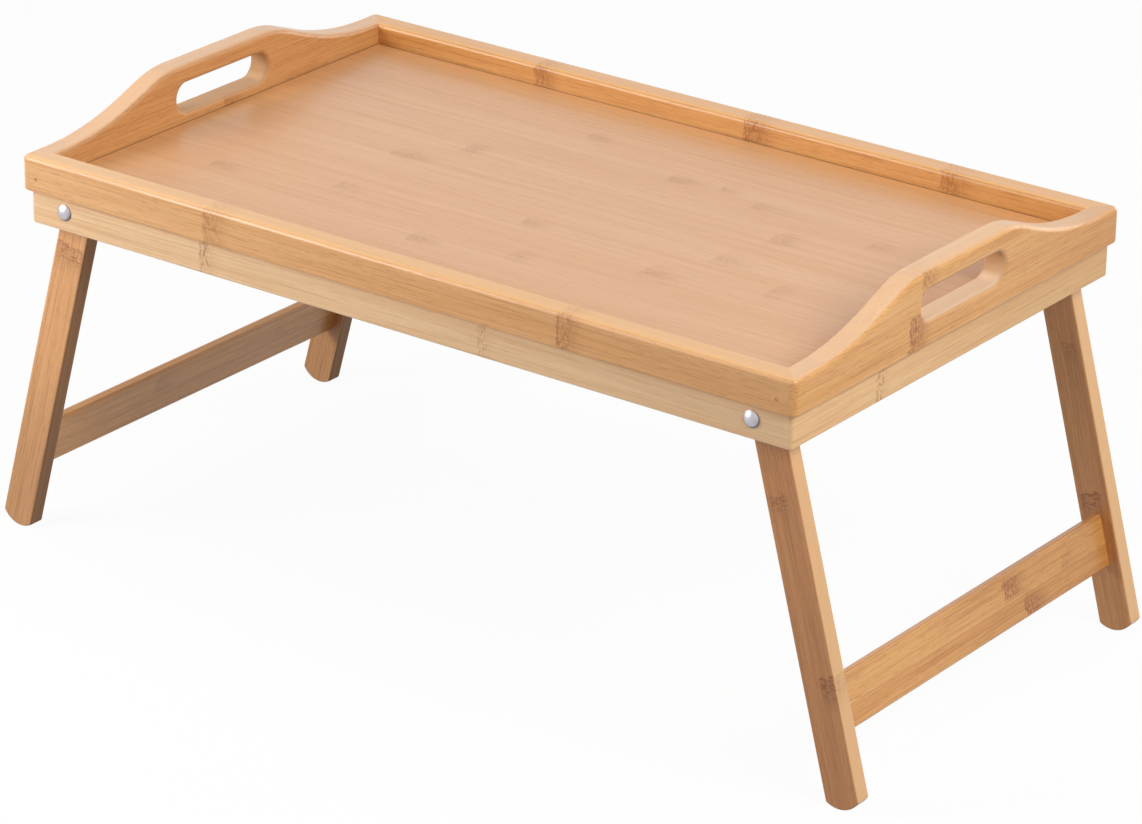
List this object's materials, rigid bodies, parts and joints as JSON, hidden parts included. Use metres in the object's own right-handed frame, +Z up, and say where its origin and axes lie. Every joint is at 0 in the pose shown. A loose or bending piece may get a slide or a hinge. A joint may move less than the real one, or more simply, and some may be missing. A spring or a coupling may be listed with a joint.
{
  "type": "bed tray table",
  "caption": "Rectangular bamboo bed tray with raised handle ends with hand slots, standing on leg frames that fold flat under the tray.",
  "frame": {"origin": "on the floor under the middle of the tray", "axes": "+X along the tray towards the right handle, -Y towards the long side nearest the user, +Z up"},
  "size_m": [0.5706, 0.3, 0.2505],
  "materials": {
    "rail_bamboo": "satin clear lacquer on laminated bamboo",
    "panel_bamboo": "satin clear lacquer on a laminated bamboo sheet",
    "apron_bamboo": "satin clear lacquer on pale laminated bamboo",
    "leg_bamboo": "satin clear lacquer on laminated bamboo",
    "dowel_wood": "plain turned wood",
    "nickel_plate": "smooth nickel plate",
    "washer_steel": "zinc plated",
    "screw_steel": "zinc plated",
    "brad_steel": "dull steel"
  },
  "bodies": {
    "tray": {"front_rail": "rail_bamboo", "back_rail": "rail_bamboo", "left_handle_rail": "rail_bamboo", "right_handle_rail": "rail_bamboo", "tray_panel": "panel_bamboo", "corner_brads": "brad_steel", "front_apron": "apron_bamboo", "back_apron": "apron_bamboo", "left_end_apron": "apron_bamboo", "right_end_apron": "apron_bamboo", "right_front_barrel_nut": "nickel_plate", "right_front_spacer_washer": "washer_steel", "right_front_screw_washer": "washer_steel", "right_front_pivot_screw": "screw_steel", "right_rear_barrel_nut": "nickel_plate", "right_rear_spacer_washer": "washer_steel", "right_rear_screw_washer": "washer_steel", "right_rear_pivot_screw": "screw_steel", "left_front_barrel_nut": "nickel_plate", "left_front_spacer_washer": "washer_steel", "left_front_screw_washer": "washer_steel", "left_front_pivot_screw": "screw_steel", "left_rear_barrel_nut": "nickel_plate", "left_rear_spacer_washer": "washer_steel", "left_rear_screw_washer": "washer_steel", "left_rear_pivot_screw": "screw_steel"},
    "right_leg_frame": {"right_stretcher": "leg_bamboo", "right_front_leg": "leg_bamboo", "right_front_upper_dowel": "dowel_wood", "right_front_lower_dowel": "dowel_wood", "right_rear_leg": "leg_bamboo", "right_rear_upper_dowel": "dowel_wood", "right_rear_lower_dowel": "dowel_wood"},
    "left_leg_frame": {"left_stretcher": "leg_bamboo", "left_front_leg": "leg_bamboo", "left_front_upper_dowel": "dowel_wood", "left_front_lower_dowel": "dowel_wood", "left_rear_leg": "leg_bamboo", "left_rear_upper_dowel": "dowel_wood", "left_rear_lower_dowel": "dowel_wood"}
  },
  "joints": [
    {"name": "right_legs_fold", "type": "hinge", "parent": "tray", "child": "right_leg_frame", "pos_m": [0.2231, 0, 0.2015], "axis": [0, 1, 0], "range_deg": [0, 105]},
    {"name": "left_legs_fold", "type": "hinge", "parent": "tray", "child": "left_leg_frame", "pos_m": [-0.2231, 0, 0.2015], "axis": [0, -1, 0], "range_deg": [0, 105]}
  ]
}
